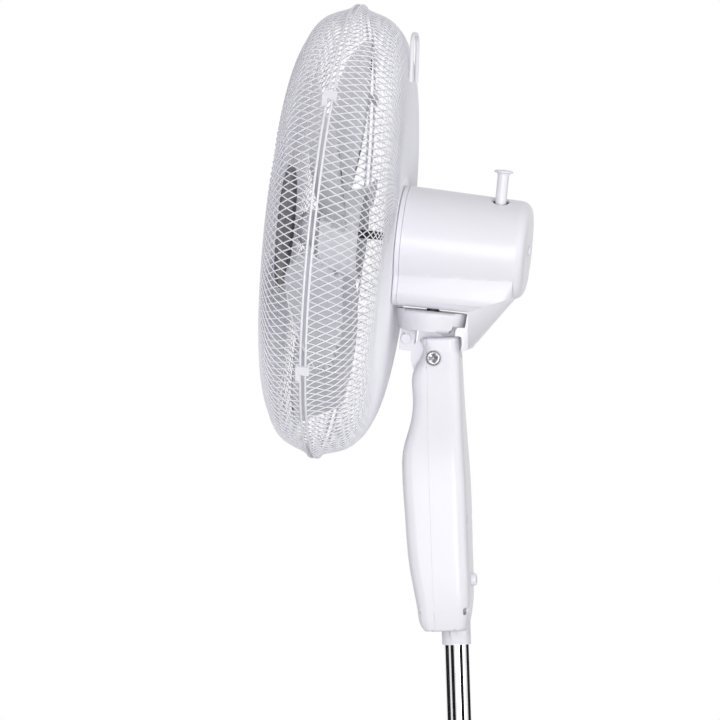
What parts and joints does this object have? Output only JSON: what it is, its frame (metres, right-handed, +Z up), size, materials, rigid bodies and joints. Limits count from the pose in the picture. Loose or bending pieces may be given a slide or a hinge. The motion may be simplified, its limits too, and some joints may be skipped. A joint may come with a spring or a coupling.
{
  "type": "pedestal fan",
  "caption": "White pedestal fan on a round base: telescopic chrome pole, control neck, tilting and oscillating motor head, crossed-wire guards and swept blades.",
  "frame": {"origin": "on the floor under the feet, on the pole's axis", "axes": "+Z up along the pole; the blades face -Y; +X is the fan's side that the picture shows"},
  "size_m": [0.4399, 0.4, 1.204],
  "materials": {
    "white_plastic": "glossy white moulded plastic",
    "white_wire": "white powder-coated wire",
    "chrome": "polished chrome",
    "steel": "plain bright steel",
    "dark_steel": "dark oiled steel",
    "aluminium": "die-cast aluminium",
    "copper": "enamelled winding",
    "bronze": "sintered bronze",
    "rubber": "matt rubber",
    "iron": "cast plate",
    "grey_plastic": "grey moulded plastic",
    "nylon": "natural nylon",
    "white_blade": "white moulded blades"
  },
  "bodies": {
    "stand": {"base_cover": "white_plastic", "base_weight": "iron", "base_feet": "rubber", "base_flange": "dark_steel", "base_screws": "steel", "outer_pole": "chrome", "collar_seat": "white_plastic"},
    "height_lock": {"height_collar": "white_plastic"},
    "mast": {"inner_pole": "chrome", "pole_stop": "nylon", "neck_front_shell": "white_plastic", "neck_rear_shell": "white_plastic", "neck_screws": "steel", "cord_gland": "white_plastic", "control_panel": "white_plastic", "switch_block": "grey_plastic", "tilt_screw": "steel", "tilt_nut": "steel"},
    "tilt": {"tilt_bracket": "white_plastic", "pan_bush": "bronze", "stop_pin": "white_plastic"},
    "link": {"oscillation_link": "steel"},
    "head": {"pan_post": "aluminium", "motor_front_cover": "white_plastic", "motor_rear_cover": "white_plastic", "cover_screw": "steel", "front_bell": "aluminium", "rear_bell": "aluminium", "through_bolts": "steel", "stator_core": "dark_steel", "stator_windings": "copper", "motor_bearings": "bronze", "gear_case": "aluminium", "gear_lid": "aluminium", "front_rim": "white_wire", "rear_rim": "white_wire", "front_grille": "white_wire", "rear_grille": "white_wire", "front_badge": "grey_plastic", "grille_nut": "white_plastic", "carry_handle": "white_wire"},
    "rotor": {"motor_shaft": "dark_steel", "rotor_core": "dark_steel", "drive_pin": "steel", "fan_blade": "white_blade", "blade_lock_nut": "white_plastic", "worm": "steel"},
    "wheel": {"worm_wheel": "nylon", "clutch_spindle": "steel"},
    "crank": {"crank": "steel"},
    "knob": {"oscillation_knob": "white_plastic"},
    "button_0": {"speed_button_0": "white_plastic"},
    "button_1": {"speed_button_1": "white_plastic"},
    "button_2": {"speed_button_2": "white_plastic"},
    "button_3": {"speed_button_3": "white_plastic"},
    "clip_1": {"grille_clip_1": "white_plastic"},
    "clip_2": {"grille_clip_2": "white_plastic"},
    "clip_3": {"grille_clip_3": "white_plastic"},
    "clip_4": {"grille_clip_4": "white_plastic"}
  },
  "joints": [
    {"name": "height_lock_turn", "type": "hinge", "parent": "stand", "child": "height_lock", "pos_m": [0, 0, 0.43], "axis": [0, 0, 1], "range_deg": [-60, 60]},
    {"name": "height", "type": "slide", "parent": "stand", "child": "mast", "axis": [0, 0, 1], "range_m": [-0.12, 0.16]},
    {"name": "tilt", "type": "hinge", "parent": "mast", "child": "tilt", "pos_m": [0, -0.0115, 0.8615], "axis": [-1, 0, 0], "range_deg": [-10, 30]},
    {"name": "pan", "type": "hinge", "parent": "tilt", "child": "head", "pos_m": [0, -0.01247, 0.90654], "axis": [0, 0.134, 0.991], "range_deg": [-35, 35]},
    {"name": "link_swing", "type": "hinge", "parent": "tilt", "child": "link", "pos_m": [0.0118, -0.01127, 0.91546], "axis": [0, 0.134, 0.991], "range_deg": [-36, 36]},
    {"name": "crank_turn", "type": "hinge", "parent": "head", "child": "crank", "pos_m": [0.0053, 0.0373, 0.91646], "axis": [0, 0.134, 0.991], "range_deg": [-91, 91]},
    {"name": "blade_spin", "type": "hinge", "parent": "head", "child": "rotor", "pos_m": [0, -0.10167, 0.9857], "axis": [0, 0.991, -0.134], "continuous": true},
    {"name": "wheel_spin", "type": "hinge", "parent": "head", "child": "wheel", "pos_m": [0.016, 0.05193, 0.96493], "axis": [0, 0.134, 0.991], "continuous": true},
    {"name": "knob_pull", "type": "slide", "parent": "head", "child": "knob", "axis": [0, 0.134, 0.991], "range_m": [-0.01, 0]},
    {"name": "button_0_press", "type": "slide", "parent": "mast", "child": "button_0", "axis": [0, 1, 0], "range_m": [0, 0.003], "stiffness_N_per_m": 300, "springref_m": -0.002},
    {"name": "button_1_press", "type": "slide", "parent": "mast", "child": "button_1", "axis": [0, 1, 0], "range_m": [0, 0.003], "stiffness_N_per_m": 300, "springref_m": -0.002},
    {"name": "button_2_press", "type": "slide", "parent": "mast", "child": "button_2", "axis": [0, 1, 0], "range_m": [0, 0.003], "stiffness_N_per_m": 300, "springref_m": -0.002},
    {"name": "button_3_press", "type": "slide", "parent": "mast", "child": "button_3", "axis": [0, 1, 0], "range_m": [0, 0.003], "stiffness_N_per_m": 300, "springref_m": -0.002},
    {"name": "clip_1_open", "type": "hinge", "parent": "head", "child": "clip_1", "pos_m": [0.17701, -0.08692, 1.11348], "axis": [0.5878, -0.1084, -0.8017], "range_deg": [0, 60]},
    {"name": "clip_2_open", "type": "hinge", "parent": "head", "child": "clip_2", "pos_m": [0.17701, -0.12138, 0.85859], "axis": [-0.5878, -0.1084, -0.8017], "range_deg": [0, 60]},
    {"name": "clip_3_open", "type": "hinge", "parent": "head", "child": "clip_3", "pos_m": [-0.17701, -0.08692, 1.11348], "axis": [0.5878, 0.1084, 0.8017], "range_deg": [0, 60]},
    {"name": "clip_4_open", "type": "hinge", "parent": "head", "child": "clip_4", "pos_m": [-0.17701, -0.12138, 0.85859], "axis": [-0.5878, 0.1084, 0.8017], "range_deg": [0, 60]}
  ],
  "couplings": [
    {"joint": "link_swing", "follows": "pan", "ratio": 1},
    {"joint": "crank_turn", "follows": "pan", "ratio": -2.5714},
    {"joint": "wheel_spin", "follows": "blade_spin", "ratio": 0.05}
  ]
}
